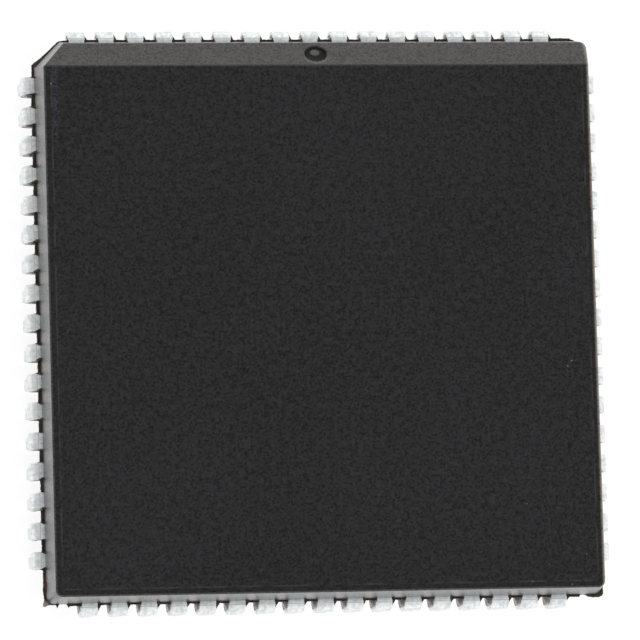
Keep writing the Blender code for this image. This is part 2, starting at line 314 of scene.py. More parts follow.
# Colours of the compound
COMPOUND_DARK = (0.0022, 0.0018, 0.0022, 1)
COMPOUND_LIGHT = (0.0222, 0.0200, 0.0230, 1)
BORDER_TONE = (0.0065, 0.0045, 0.0035, 1)
LINE_TONE = (0.04, 0.038, 0.037, 1)
SCUFF_TONE = (0.042, 0.05, 0.066, 1)
# Speckled tone that lightens only the slope of pin 1: painted sheen
SLOPE_SHEEN_TONE = (0.082, 0.063, 0.062, 1)
# Pale tone of a painted highlight arc along the pin 1 mark's rim
RIM_HIGHLIGHT_TONE = (0.20, 0.17, 0.17, 1)
# Pale brown-grey of a painted highlight along the right edge of the top and its rounding
RIGHT_CREST_HIGHLIGHT_TONE = (0.29, 0.24, 0.20, 1)

# Marks on the top, in millimetres inside its edges: wear as a smooth border with a pale line at its inner
# side and a scuffed patch on the left, which starts at a height along the side, and a painted highlight
# along the right edge
BORDER = (0.30, 0.24)
LINE_OUTER = (0.25, 0.29)
LINE_INNER = (0.35, 0.31)
SCUFF_INSET = 0.45
SCUFF_WIDTH = 0.22
SCUFF_START = (6.5, 9.0)
RIGHT_CREST_HIGHLIGHT = (0.15, 0.02)

# Share of the pale tone in the painted highlight arc along the pin 1 mark's rim, and the reach of
# that painted highlight, in millimetres
RIM_HIGHLIGHT_SHARE = 0.5
RIM_WIDTH = (0.06, 0.02)
RIM_BELOW = (0.02, 0.25)

# Gloss of the compound. The upright walls are smoother under a thin coat and have a stronger relief.
COMPOUND_IOR = 1.6
COMPOUND_BUMP = 0.009 * MM
WALL_RELIEF = 2.0
WALL_COAT = 0.85
WALL_COAT_ROUGHNESS = 0.35


def inside_edge(graph, reach):
    """How far a point of the top lies inside an edge, in millimetres, from its reach towards that edge."""
    return graph.math("DIVIDE", graph.math("SUBTRACT", wall_at(BODY_TOP), reach), MM)


def moulding_compound():
    """Near-black epoxy with an eroded grain and slow mottling, marks of wear, and painted light: a speckled
    sheen on the slope of pin 1, a highlight arc along its mark's rim and a highlight along the right edge.
    """
    material, graph = new_material("moulding_compound_finish")
    place = graph.millimetres()
    speck = graph.noise(place, 15.0, 2.0, 0.6)
    fine = graph.noise(place, 8.0, 2.0, 0.6)
    middle = graph.noise(place, 3.2, 3.0, 0.6)
    broad = graph.noise(place, 0.16, 2.0)
    tone = graph.blend((speck, 0.3), (fine, 0.35), (middle, 0.25), (broad, 0.1))
    colour = graph.mix(graph.ramp(tone, 0.38, 0.62), COMPOUND_DARK, COMPOUND_LIGHT)

    coordinates = graph.add("ShaderNodeTexCoord")
    split = graph.add("ShaderNodeSeparateXYZ", {0: coordinates.outputs["Object"]})
    facing_up = graph.add("ShaderNodeSeparateXYZ", {0: coordinates.outputs["Normal"]}).outputs[2]
    across, along, height = split.outputs
    on_top = graph.ramp(height, BODY_TOP - 0.02 * MM, BODY_TOP - 0.005 * MM)
    plain_reach = graph.math("MAXIMUM", graph.math("ABSOLUTE", across), graph.math("MULTIPLY", along, -1.0))
    inside = inside_edge(graph, plain_reach)

    border = graph.math("MULTIPLY", graph.ramp(inside, *BORDER), on_top)
    colour = graph.mix(graph.math("MULTIPLY", border, 0.5), colour, BORDER_TONE)
    line = graph.math("MULTIPLY", graph.ramp(inside, *LINE_OUTER), graph.ramp(inside, *LINE_INNER))
    broken = graph.ramp(graph.noise(place, 1.3, 2.0), 0.38, 0.58)
    line = graph.math("MULTIPLY", graph.math("MULTIPLY", line, on_top), broken)
    colour = graph.mix(line, colour, LINE_TONE)

    offset = graph.math("ABSOLUTE", graph.math("SUBTRACT", inside, SCUFF_INSET))
    on_left = graph.math("LESS_THAN", across, 0.0)
    scuff = graph.math("MULTIPLY", graph.ramp(offset, SCUFF_WIDTH, 0.0), on_left)
    scuff_low, scuff_high = (reach * MM for reach in SCUFF_START)
    upper = graph.math("MULTIPLY", graph.ramp(along, scuff_low, scuff_high), on_top)
    scuff = graph.math("MULTIPLY", graph.math("MULTIPLY", scuff, upper), graph.ramp(speck, 0.46, 0.6))
    colour = graph.mix(scuff, colour, SCUFF_TONE)

    # Painted sheen: a lighter speckled tone on the slope of pin 1 alone, chosen by which way the face points
    slope = graph.math("MULTIPLY", graph.ramp(facing_up, 0.97, 0.9), graph.ramp(facing_up, 0.5, 0.7))
    slope_sheen_speckle = graph.ramp(graph.blend((speck, 0.5), (fine, 0.35), (middle, 0.15)), 0.44, 0.58)
    colour = graph.mix(graph.math("MULTIPLY", slope, slope_sheen_speckle), colour, SLOPE_SHEEN_TONE)

    # Painted highlight: a pale arc along the mark's rim, on its side towards the slope's crest
    centre = mark_frame().translation
    ends = {0: coordinates.outputs["Object"], 1: centre}
    away = graph.add("ShaderNodeVectorMath", ends, operation="DISTANCE").outputs["Value"]
    from_rim = graph.math("ABSOLUTE", graph.math("SUBTRACT", away, MARK_RIM))
    rim_outer, rim_core = (width * MM for width in RIM_WIDTH)
    rim_highlight = graph.math("MULTIPLY", graph.ramp(from_rim, rim_outer, rim_core), RIM_HIGHLIGHT_SHARE)
    rim_start, rim_full = (centre.y - below * MM for below in RIM_BELOW)
    rim_highlight = graph.math("MULTIPLY", rim_highlight, graph.ramp(along, rim_start, rim_full))
    colour = graph.mix(rim_highlight, colour, RIM_HIGHLIGHT_TONE)

    # Painted highlight: a patchy pale tone along the right edge, on the top and its rounding but not the wall
    crest_highlight = graph.ramp(inside_edge(graph, across), *RIGHT_CREST_HIGHLIGHT)
    crest_highlight = graph.math("MULTIPLY", crest_highlight, graph.ramp(facing_up, 0.2, 0.5))
    crest_highlight = graph.math("MULTIPLY", crest_highlight, graph.ramp(graph.blend((fine, 0.5), (middle, 0.5)), 0.30, 0.52))
    colour = graph.mix(crest_highlight, colour, RIGHT_CREST_HIGHLIGHT_TONE)

    grain = graph.blend((speck, 0.5), (fine, 1.0), (middle, 0.5))
    rough = graph.ramp(grain, 0.7, 1.3, 0.25, 0.34)
    smooth = graph.ramp(grain, 0.85, 1.15, 0.24, 0.42)
    walls = graph.math("MULTIPLY", graph.ramp(facing_up, 0.6, 0.3), graph.ramp(facing_up, -0.6, -0.3))
    roughness = graph.blend((rough, graph.math("SUBTRACT", 1.0, walls)), (smooth, walls))
    relief = graph.math("MULTIPLY", grain, graph.math("MULTIPLY_ADD", walls, WALL_RELIEF, 1.0))
    shader = graph.add(
        "ShaderNodeBsdfPrincipled",
        {
            "Base Color": colour,
            "Roughness": roughness,
            "Normal": graph.bump(relief, COMPOUND_BUMP),
            "IOR": COMPOUND_IOR,
            "Coat Weight": graph.math("MULTIPLY", walls, WALL_COAT),
            "Coat Roughness": WALL_COAT_ROUGHNESS,
        },
    )
    graph.surface(shader.outputs[0])
    return material


def pit_shade_and_glint_compound(name, tone, ior):
    """The same epoxy where a smooth pin of the mould pressed it, made as a darker copy with a low IOR for
    painted shade in the pin 1 pit and a lighter copy with a high IOR for a painted glint.
    """
    material, graph = new_material(name)
    cloud = graph.noise(graph.millimetres(), 4.0, 3.0)
    shader = graph.add(
        "ShaderNodeBsdfPrincipled",
        {
            "Base Color": graph.mix(graph.ramp(cloud, 0.3, 0.7), grey(tone / 2, 0.1), grey(tone, 0.1)),
            "Roughness": graph.ramp(cloud, 0.3, 0.7, 0.12, 0.22),
            "Normal": graph.bump(cloud, 0.012 * MM),
            "IOR": ior,
        },
    )
    graph.surface(shader.outputs[0])
    return material


# Tones of the resin: the flash, the film on the leads, and the crushed corner, whitened from the outer
# radius inward
FLASH_TONES = ((0.013, 0.009, 0.008, 1), (0.075, 0.05, 0.036, 1))
FILM_TONES = ((0.025, 0.016, 0.008, 1), (0.13, 0.09, 0.035, 1))
CRUSHED_TONE = (0.36, 0.32, 0.27, 1)
CRUSHED_OUTWARD = 0.06 * MM
CRUSHED_RADIUS = 0.30 * MM
CRUSHED_CORE = 0.12 * MM
RESIN_IOR = 1.45


def thin_resin(name, dark, light):
    """Resin left between and on the leads, browner where it is thinnest, whitened at one crushed corner."""
    material, graph = new_material(name)
    place = graph.millimetres()
    patches = graph.noise(place, 2.5, 4.0)
    grain = graph.noise(place, 9.0)
    colour = graph.mix(graph.ramp(patches, 0.40, 0.66), dark, light)
    coordinates = graph.add("ShaderNodeTexCoord").outputs["Object"]
    corner = (-BODY_HALF - CRUSHED_OUTWARD, -BODY_HALF - CRUSHED_OUTWARD, FRAME_TOP)
    ends = {0: coordinates, 1: corner}
    away = graph.add("ShaderNodeVectorMath", ends, operation="DISTANCE").outputs["Value"]
    crushed = graph.ramp(away, CRUSHED_RADIUS, CRUSHED_CORE)
    colour = graph.mix(crushed, colour, CRUSHED_TONE)
    shader = graph.add(
        "ShaderNodeBsdfPrincipled",
        {
            "Base Color": colour,
            "Roughness": graph.ramp(patches, 0.3, 0.7, 0.4, 0.6),
            "Normal": graph.bump(grain, 0.006 * MM),
            "IOR": RESIN_IOR,
        },
    )
    graph.surface(shader.outputs[0])
    return material


# Tones of the metals
TIN_DULL = (0.74, 0.79, 0.80, 1)
TIN_BRIGHT = (0.98, 0.985, 0.98, 1)
TOOL_LINE_TONE = (0.62, 0.66, 0.68, 1)
TOOL_LINE_WIDTH = 0.03 * MM
# Torn flank tones by the wall, brown and dark as painted shade between the leads
TORN_SHADE_DARK = (0.25, 0.20, 0.18, 1)
TORN_SHADE_LIGHT = (0.42, 0.35, 0.32, 1)
BURNISHED = (0.97, 0.98, 0.97, 1)
COPPER_RED = (0.22, 0.07, 0.04, 1)
COPPER_OLIVE = (0.07, 0.05, 0.018, 1)
METAL_BUMP = 0.008 * MM

# How far inside the outer face the flanks turn from torn, with its painted shade, to burnished
TORN_TO = 0.22 * MM
BURNISHED_FROM = 0.12 * MM


def tin_tone(graph):
    """Soft streaks along the lead, with clouds, as one value."""
    streaks = graph.noise(graph.millimetres((1.2, 7.0, 1.2)), 1.0, 4.0, 0.6)
    cloud = graph.noise(graph.millimetres(), 6.0, 3.0, 0.65)
    return streaks, graph.blend((streaks, 0.4), (cloud, 0.6))


def tin_plate():
    """Satin tin with soft streaks that run along the lead and a fine grain."""
    material, graph = new_material("tin_plate_finish")
    streaks, tone = tin_tone(graph)
    colour = graph.mix(graph.ramp(tone, 0.38, 0.60), TIN_DULL, TIN_BRIGHT)
    coordinates = graph.add("ShaderNodeTexCoord").outputs["Object"]
    outward = graph.add("ShaderNodeSeparateXYZ", {0: coordinates}).outputs[0]
    from_line = graph.math("ABSOLUTE", graph.math("SUBTRACT", outward, SHOULDER_START + TOOL_LINE))
    tool_line = graph.ramp(from_line, TOOL_LINE_WIDTH, 0.0)
    cloud = graph.ramp(tone, 0.44, 0.56)
    colour = graph.mix(graph.math("MULTIPLY", tool_line, cloud), colour, TOOL_LINE_TONE)
    grain = graph.blend((streaks, 0.6), (graph.noise(graph.millimetres(), 9.0), 1.0), (tool_line, 0.8))
    shader = graph.add(
        "ShaderNodeBsdfPrincipled",
        {
            "Base Color": colour,
            "Metallic": 1.0,
            "Roughness": graph.ramp(tone, 0.38, 0.62, 0.62, 0.44),
            "Normal": graph.bump(grain, METAL_BUMP),
        },
    )
    graph.surface(shader.outputs[0])
    return material


def sheared_flank():
    """Flank of a lead: torn brownish metal by the wall, darker there as painted shade between the leads,
    burnished towards the outer face and the foot.
    """
    material, graph = new_material("sheared_flank_finish")
    _, tone = tin_tone(graph)
    coordinates = graph.add("ShaderNodeTexCoord").outputs["Object"]
    outward = graph.add("ShaderNodeSeparateXYZ", {0: coordinates}).outputs[0]
    burnished = graph.ramp(outward, LEAD_OUTER - TORN_TO, LEAD_OUTER - BURNISHED_FROM)
    # Painted shade: the torn flank is darker brown by the wall, between the leads
    torn_shade = graph.mix(graph.ramp(tone, 0.38, 0.62), TORN_SHADE_DARK, TORN_SHADE_LIGHT)
    colour = graph.mix(burnished, torn_shade, BURNISHED)
    shader = graph.add(
        "ShaderNodeBsdfPrincipled",
        {
            "Base Color": colour,
            "Metallic": 1.0,
            "Roughness": graph.ramp(tone, 0.3, 0.7, 0.6, 0.45),
            "Normal": graph.bump(tone, METAL_BUMP),
        },
    )
    graph.surface(shader.outputs[0])
    return material


def bare_copper():
    """Trimmed ends, where the copper alloy shows, dark red and olive with tarnish."""
    material, graph = new_material("bare_copper_finish")
    place = graph.millimetres()
    tarnish = graph.noise(place, 5.0, 4.0, 0.6)
    colour = graph.mix(graph.ramp(tarnish, 0.4, 0.62), COPPER_RED, COPPER_OLIVE)
    shader = graph.add(
        "ShaderNodeBsdfPrincipled",
        {
            "Base Color": colour,
            "Metallic": 0.7,
            "Roughness": graph.ramp(tarnish, 0.3, 0.7, 0.4, 0.6),
            "Normal": graph.bump(graph.noise(place, 12.0), 0.004 * MM),
        },
    )
    graph.surface(shader.outputs[0])
    return material


def dust(name, dark, light):
    """Grains of dirt on the top."""
    material, graph = new_material(name)
    cloud = graph.noise(graph.millimetres(), 14.0)
    colour = graph.mix(graph.ramp(cloud, 0.3, 0.7), dark, light)
    shader = graph.add("ShaderNodeBsdfPrincipled", {"Base Color": colour, "Roughness": 0.8})
    graph.surface(shader.outputs[0])
    return material


def hidden_finish(name, dark, light, metallic, roughness):
    """Finish of the die and its glue, which the body hides."""
    material, graph = new_material(name)
    cloud = graph.noise(graph.millimetres(), 3.0)
    shader = graph.add(
        "ShaderNodeBsdfPrincipled",
        {
            "Base Color": graph.mix(graph.ramp(cloud, 0.3, 0.7), dark, light),
            "Metallic": metallic,
            "Roughness": roughness,
        },
    )
    graph.surface(shader.outputs[0])
    return material


# Leads: a rounded strip swept along the J


def lead_stations(index, tip):
    """Points of the outer face as (outward, along, height, half width, angle turned down)."""
    near, far = index * FINGER_PITCH, index * PITCH
    wide, narrow = UPPER_WIDTH / 2, LOWER_WIDTH / 2
    stations = [
        (tip, near, FRAME_TOP, FINGER_WIDTH / 2, 0.0),
        (FAN_END, far, FRAME_TOP, wide, 0.0),
        (BODY_HALF - NECK_LENGTH, far, FRAME_TOP, wide, 0.0),
        (BODY_HALF, far, FRAME_TOP, NECK_WIDTH / 2, 0.0),
    ]
    for step in range(SHOULDER_STEPS + 1):
        angle = step / SHOULDER_STEPS * math.pi / 2
        outward = SHOULDER_START + SHOULDER_RADIUS * math.sin(angle)
        height = FRAME_TOP - SHOULDER_RADIUS * (1 - math.cos(angle))
        widened = smoothstep((outward - BODY_HALF) / NECK_LENGTH)
        half = NECK_WIDTH / 2 + (wide - NECK_WIDTH / 2) * widened
        stations.append((outward, far, height, half, angle))
    taper_top = FRAME_TOP - SHOULDER_RADIUS - WIDE_LEG
    for step in range(TAPER_STEPS + 1):
        share = step / TAPER_STEPS
        half = wide + (narrow - wide) * smoothstep(share)
        stations.append((LEAD_OUTER, far, taper_top - LEG_TAPER * share, half, math.pi / 2))
    for step in range(FOOT_STEPS + 1):
        sweep = step / FOOT_STEPS * FOOT_SWEEP
        outward = FOOT_CENTRE + FOOT_RADIUS * math.cos(sweep)
        height = FOOT_RADIUS * (1 - math.sin(sweep))
        stations.append((outward, far, height, narrow, math.pi / 2 + sweep))
    return stations


def rounded_section(left, right, thickness, roll, burr):
    """Outline of the strip as (along, depth), with soft outer corners and tight inner ones."""
    corners = [
        (right - roll, -roll, roll, 0, 4),
        (left + roll, -roll, roll, 90, 4),
        (left + burr, burr - thickness, burr, 180, 2),
        (right - burr, burr - thickness, burr, 270, 2),
    ]
    points = []
    for along, depth, radius, start, steps in corners:
        for step in range(steps + 1):
            angle = math.radians(start + 90 * step / steps)
            points.append((along + radius * math.cos(angle), depth + radius * math.sin(angle)))
    return points


# In that outline, the number of points and the stretches that are the sheared flanks
SECTION_POINTS = 16
LEFT_FLANK = 9
RIGHT_FLANK = 15


def swept_strip(bm, stations, thickness, roll, burr):
    """Stations give (outward, along, height, left, right, angle). The strip lies under its outer face."""
    rings = []
    for outward, along, height, left, right, angle in stations:
        normal = Vector((math.sin(angle), 0, math.cos(angle)))
        centre = Vector((outward, along, height))
        section = rounded_section(left, right, thickness, roll, burr)
        rings.append([centre + Vector((0, across, 0)) + normal * depth for across, depth in section])
    materials = [0] * SECTION_POINTS
    materials[LEFT_FLANK] = 1
    materials[RIGHT_FLANK] = 1
    loft(bm, rings, materials)
    bm.faces.ensure_lookup_table()
    for face in (bm.faces[-1], bm.faces[-2]):
        face.material_index = 2


def lead_mesh(index):
    tip = PADDLE_SIDE / 2 - FINGER_WIDTH if index in GROUND_LEADS else FINGER_TIP
    bm = bmesh.new()
    stations = [(o, a, h, -half, half, angle) for o, a, h, half, angle in lead_stations(index, tip)]
    swept_strip(bm, stations, LEAD_THICKNESS, ROLL_RADIUS, BURR_RADIUS)
    return new_mesh(f"formed_lead_{index}", bm)


# Small random shifts of the leads, inward and along their side
LEAD_SEED = 68
LEAD_SHIFT = 0.012


def add_leads(tin, flank, copper):
    rng = random.Random(LEAD_SEED)
    for index in range(-END_LEAD, END_LEAD + 1):
        mesh = lead_mesh(index)
        for side in range(SIDES):
            pin = pin_number(side, index)
            node = f"lead_{pin:02d}"
            nodes = [node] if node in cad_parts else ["die_paddle"]
            inward, along = rng.uniform(-LEAD_SHIFT, 0) * MM, rng.gauss(0, LEAD_SHIFT) * MM
            turn = side_turn(side) @ Matrix.Translation((inward, along, 0))
            new_piece(f"formed_lead_{pin:02d}", mesh, nodes, (tin, flank, copper), turn)


# How far the trimmed ends of the tie bars stand out of the wall, on both sides of each corner
TIE_STUBS = ((-0.03, -0.03), (0.09, 0.0), (0.0, 0.0), (0.0, 0.03))
TIE_SMEAR = 0.08 * MM


def tie_bar_arm(side, stub):
    """Outline of the arm that leaves through the +X side before the turn."""
    half = TIE_WIDTH / 2
    low, high = TIE_ARM - half, TIE_ARM + half
    reach = BODY_HALF + stub * MM
    if side > 0:
        trimmed = [(BODY_HALF, low), (reach, low + TIE_SMEAR), (reach, high - TIE_SMEAR), (BODY_HALF, high)]
        return [(low, low), *(trimmed if stub > 0 else trimmed[::3]), (low, high)]
    bevel = 2 * reach - chamfer_at(reach)
    return [(low, low), (min(reach, bevel - low), low), (min(reach, bevel - high), high), (low, high)]


def tie_bar_shapes(side):
    """A diagonal bar and its two arms, towards the corner between +X and +Y before the turn."""
    across = TIE_WIDTH / 2 / math.sqrt(2)
    diagonal = [(across, -across), (TIE_ARM + across, TIE_ARM - across)]
    diagonal += [(y, x) for x, y in reversed(diagonal)]
    first, second = (tie_bar_arm(side, stub) for stub in TIE_STUBS[side])
    return [diagonal, first, [(y, x) for x, y in reversed(second)]]


def prism(bm, outline, bottom, top, material=0):
    lower = [bm.verts.new((x, y, bottom)) for x, y in outline]
    upper = [bm.verts.new((x, y, top)) for x, y in outline]
    faces = [bm.faces.new(lower[::-1]), bm.faces.new(upper)]
    for near in range(len(outline)):
        far = (near + 1) % len(outline)
        faces.append(bm.faces.new((lower[near], lower[far], upper[far], upper[near])))
    for face in faces:
        face.material_index = material
    return lower + upper


def add_paddle(tin, copper):
    bm = bmesh.new()
    half = PADDLE_SIDE / 2
    prism(bm, [(half, half), (-half, half), (-half, -half), (half, -half)], FRAME_BOTTOM, FRAME_TOP)
    for side in range(SIDES):
        for shape in tie_bar_shapes(side):
            added = prism(bm, shape, FRAME_BOTTOM, FRAME_TOP, 1)
            bmesh.ops.transform(bm, matrix=side_turn(side), verts=added)
    mesh = new_mesh("paddle_and_tie_bars", bm)
    new_piece("paddle_and_tie_bars", mesh, ["die_paddle"], (tin, copper))


# The moulded body


def chamfer_at(half):
    return PIN_1_CHAMFER - CHAMFER_SHARE * (BODY_HALF - half)


def wall_at(height):
    if height >= FRAME_TOP:
        return BODY_HALF - (height - FRAME_TOP) * math.tan(DRAFT_TOP)
    return BODY_HALF - (FRAME_BOTTOM - height) * math.tan(DRAFT_BOTTOM)


def body_ring(half, height, lean=0.0):
    """Anticlockwise outline with the chamfer between +Y and -X and three round corners."""
    points = []
    for side in range(SIDES):
        if side == 0:
            inner = half - chamfer_at(half)
            corner = [Vector((half, inner, height)), Vector((inner, half, height))]
        else:
            centre = Vector((half - CORNER_RADIUS, half - CORNER_RADIUS, height))
            angles = [step / CORNER_STEPS * math.pi / 2 for step in range(CORNER_STEPS + 1)]
            corner = [centre + CORNER_RADIUS * Vector((math.cos(a), math.sin(a), 0)) for a in angles]
        back = Vector((0, lean if side in (0, SIDES - 1) else 0, 0))
        points += [side_turn(side) @ point - back for point in corner]
    return points


def slope_frame():
    """Middle of the pin 1 slope's lower edge, the way up it, and its outward normal."""
    height = BODY_TOP - SLOPE_HEIGHT
    crest = wall_at(height) - SLOPE_RUN
    lower = Vector((0, wall_at(height) - PIN_1_LEAN * (height - FRAME_TOP), height))
    up = Vector((0, crest - lower.y, SLOPE_HEIGHT))
    normal = Vector((0, up.z, -up.y)).normalized()
    return lower, up, normal


def body_core():
    """Pedestal, rim and drafted walls, with the slope cut and the upper edges rounded."""
    rise = (RIM_BOTTOM - BODY_BOTTOM) * math.tan(DRAFT_BOTTOM)
    rings = [
        body_ring(PEDESTAL_HALF, BODY_BOTTOM),
        body_ring(PEDESTAL_HALF + rise, RIM_BOTTOM),
        body_ring(wall_at(RIM_BOTTOM), RIM_BOTTOM),
        body_ring(BODY_HALF, FRAME_BOTTOM),
        body_ring(BODY_HALF, FRAME_TOP),
        body_ring(wall_at(BODY_TOP), BODY_TOP, PIN_1_LEAN * (BODY_TOP - FRAME_TOP)),
    ]
    bm = bmesh.new()
    loft(bm, rings)
    lower, _, normal = slope_frame()
    everything = bm.verts[:] + bm.edges[:] + bm.faces[:]
    cut_through = bmesh.ops.bisect_plane(
        bm, geom=everything, dist=1e-7, plane_co=lower, plane_no=normal, clear_outer=True
    )["geom_cut"]
    bmesh.ops.holes_fill(bm, edges=[part for part in cut_through if isinstance(part, bmesh.types.BMEdge)])
    bm.normal_update()
    upward = [face for face in bm.faces if face.normal.z > 0.5 and face.calc_center_median().z > FRAME_TOP]
    edges = list({edge for face in upward for edge in face.edges})
    bmesh.ops.bevel(
        bm,
        geom=edges,
        offset=EDGE_RADIUS,
        segments=EDGE_STEPS,
        profile=0.5,
        affect="EDGES",
        clamp_overlap=True,
    )
    return new_mesh("body_moulded", bm)


def pocket_cutter():
    rise = (RIM_BOTTOM - BODY_BOTTOM) * math.tan(DRAFT_BOTTOM)
    inner = PEDESTAL_HALF + rise + POCKET_LEDGE
    bm = bmesh.new()
    for side in range(SIDES):
        for index in range(-END_LEAD, END_LEAD + 1):
            left = index * PITCH - POCKET_WIDTH / 2
            outline = [(inner, left), (BODY_HALF + OVERRUN, left)]
            outline += [(BODY_HALF + OVERRUN, left + POCKET_WIDTH), (inner, left + POCKET_WIDTH)]
            added = prism(bm, outline, RIM_BOTTOM - OVERRUN, RIM_BOTTOM + POCKET_DEPTH)
            bmesh.ops.transform(bm, matrix=side_turn(side), verts=added)
    return new_mesh("pockets", bm)


# Mark of pin 1: a soft rim, a narrow ledge, a steep wall and a shallow polished dish, all slightly oval. The
# wall and dish take a darker copy of the compound as painted shade, and a spot of the dish a lighter copy
# as a painted glint
MARK_OFFSET = (-0.035 * MM, 0.0)
MARK_SQUASH = 0.84
# Place of the painted glint: radius of its spot on the dish and how far down the slope its middle lies
SHINE_RADIUS = 0.2 * MM
SHINE_BELOW = 0.2 * MM
MARK_RIM = 0.545 * MM
MARK_SOFT = 0.03 * MM
MARK_LEDGE = 0.48 * MM
LEDGE_DEPTH = 0.03 * MM
DISH_RADIUS = 0.42 * MM
DISH_EDGE = 0.11 * MM
MARK_DEPTH = 0.15 * MM
DISH_STEPS = 16


def mark_profile():
    """Outline of the mark by (radius, depth), from near its axis out to the slope."""
    profile = []
    for step in range(1, DISH_STEPS + 1):
        share = step / DISH_STEPS
        profile.append((DISH_RADIUS * share, MARK_DEPTH - (MARK_DEPTH - DISH_EDGE) * share**2))
    wall = (DISH_EDGE + LEDGE_DEPTH) / 2
    profile.append((DISH_RADIUS + 0.02 * MM, wall + 0.02 * MM))
    profile.append((MARK_LEDGE - 0.01 * MM, LEDGE_DEPTH + 0.01 * MM))
    profile.append((MARK_LEDGE + 0.01 * MM, LEDGE_DEPTH))
    profile.append((MARK_RIM - MARK_SOFT, LEDGE_DEPTH * 0.7))
    profile.append((MARK_RIM, 0.0))
    profile.append((MARK_RIM + MARK_SOFT, -MARK_SOFT))
    profile.append((MARK_RIM + MARK_SOFT, -MARK_DEPTH))
    return profile


def mark_frame():
    """Place of the mark, with X along the slope's edge, Y down the slope and Z out of it."""
    lower, up, normal = slope_frame()
    turn = Matrix((Vector((1, 0, 0)), -up.normalized(), normal)).transposed().to_4x4()
    across, upward = MARK_OFFSET
    middle = lower + up / 2 + Vector((across, 0, 0)) + up.normalized() * upward
    return Matrix.Translation(middle) @ turn @ Matrix.Diagonal((1, MARK_SQUASH, 1, 1))


def mark_cutter():
    """Turned cutter of the mark, square to the slope."""
    place = mark_frame()
    bm = bmesh.new()
    rings = []
    for radius, depth in mark_profile():
        angles = [step / ROUND_STEPS * 2 * math.pi for step in range(ROUND_STEPS)]
        rings.append([place @ Vector((radius * math.cos(a), radius * math.sin(a), -depth)) for a in angles])
    loft(bm, rings)
    return new_mesh("pin_1_mark", bm)


def paint_mark_shade_and_glint(mesh):
    """Gives the faces inside the mark's wall a darker copy of the compound as painted shade, and a spot of its
    floor a lighter copy as a painted glint.
    """
    to_mark = mark_frame().inverted()
    for polygon in mesh.polygons:
        place = to_mark @ polygon.center
        radius = math.hypot(place.x, place.y)
        if radius < MARK_LEDGE and -2 * MARK_DEPTH < place.z < -LEDGE_DEPTH:
            # Painted glint on this spot of the floor; the rest of the wall and dish is painted shade
            glint_spot = math.hypot(place.x, place.y - SHINE_BELOW) < SHINE_RADIUS
            polygon.material_index = 2 if glint_spot else 1


def ejector_cutter():
    bm = bmesh.new()
    bmesh.ops.create_cone(
        bm,
        cap_ends=True,
        segments=ROUND_STEPS,
        radius1=EJECTOR_DIAMETER / 2,
        radius2=EJECTOR_DIAMETER / 2,
        depth=2 * EJECTOR_DEPTH,
        matrix=Matrix.Translation((0, 0, BODY_BOTTOM)),
    )
    return new_mesh("ejector_mark", bm)


def add_body(compound, smooth, pit_glint):
    """The body with its pockets and marks. Inside it is left solid, without the leadframe's slots."""
    # After the compound: its darker copy as painted shade in the pin 1 pit and its lighter copy as a painted
    # glint
    finishes = (compound, smooth, pit_glint)
    body = new_piece("body_moulded", body_core(), ["body"], finishes)
    cut(body, "pockets", pocket_cutter())
    cut(body, "pin_1_mark", mark_cutter())
    cut(body, "ejector_mark", ejector_cutter())
    paint_mark_shade_and_glint(body.data)
    body.data.shade_smooth()
    body.data.set_sharp_from_angle(angle=math.radians(SHARP_BODY_EDGE))
    weighted = body.modifiers.new("even_shading", "WEIGHTED_NORMAL")
    weighted.mode = "FACE_AREA"
    weighted.weight = 100
    weighted.keep_sharp = True


# Resin flash at the parting line: strips, corners, spikes beside the leads and films on their roots

FLASH_SEED = 17
FLASH_SINK = 0.1 * MM
FLASH_SKIN = 0.008 * MM
FLASH_STEP = 0.07 * MM
FLASH_WANDER = 0.012 * MM
CORNER_WANDER = 0.008 * MM
FLASH_DROP = 0.11 * MM
SPIKE_DROP = 0.05 * MM
SPIKE_BURY = 0.01 * MM
SPIKE_DEPTH = LEAD_THICKNESS * 0.4
FILM_LIFT = 0.007 * MM
FILM_THICKNESS = 0.02 * MM
FILM_EDGE = 0.005 * MM
SLIVER_STEPS = 8
SLIVER_ROUND = 0.004 * MM

# A sliver keeps its width over this share of its length, and then loses this share of it
SLIVER_FULL = 0.4
SLIVER_LOSS = 0.92

# The spikes' and slivers' widths and lengths vary between this share and the whole
SPIKE_LEAST = 0.75

# Width of the strips between the leads of each side, in millimetres
STRIP_REACH = (0.13, 0.13, 0.09, 0.08)

# Outlines of the flash round the corners, as steps in millimetres outward from the body's square corner
CORNER_FLASH = (
    (
        (0.10, -1.34),
        (0.07, -1.11),
        (0.01, -1.00),
        (-0.39, -0.60),
        (-0.57, -0.38),
        (-0.64, -0.32),
        (-0.86, -0.01),
        (-0.97, 0.09),
    ),
    (
        (0.10, -0.95),
        (0.12, -0.60),
        (0.08, -0.28),
        (0.08, -0.12),
        (0.11, -0.05),
        (0.13, 0.10),
        (0.02, 0.11),
        (-0.10, 0.05),
        (-0.42, 0.035),
        (-0.48, 0.17),
        (-0.56, 0.01),
        (-0.88, 0.01),
        (-0.97, 0.17),
        (-1.03, 0.10),
    ),
    (
        (0.10, -0.93),
        (0.01, -0.88),
        (0.01, -0.68),
        (0.10, -0.52),
        (0.14, -0.30),
        (0.13, -0.06),
        (0.08, 0.07),
        (-0.03, 0.13),
        (-0.30, 0.13),
        (-0.40, 0.02),
    ),
    (
        (0.02, -0.95),
        (0.01, -0.22),
        (-0.15, -0.05),
        (-0.30, 0.02),
        (-0.44, 0.08),
        (-0.58, 0.15),
        (-0.95, 0.16),
    ),
)

# On each side, which flank keeps the long spike: +1 is the one towards the local +Y
SPIKE_SIDE = (-1, 1, 1, 1)

# Width and length in millimetres of the long spikes of each side, and of the slivers on the other flank
SPIKES = ((0.11, 0.42), (0.065, 0.37), (0.13, 0.36), (0.05, 0.20))
SLIVERS = ((0.09, 0.24), (0.03, 0.30), (0.08, 0.11), (0.03, 0.15))

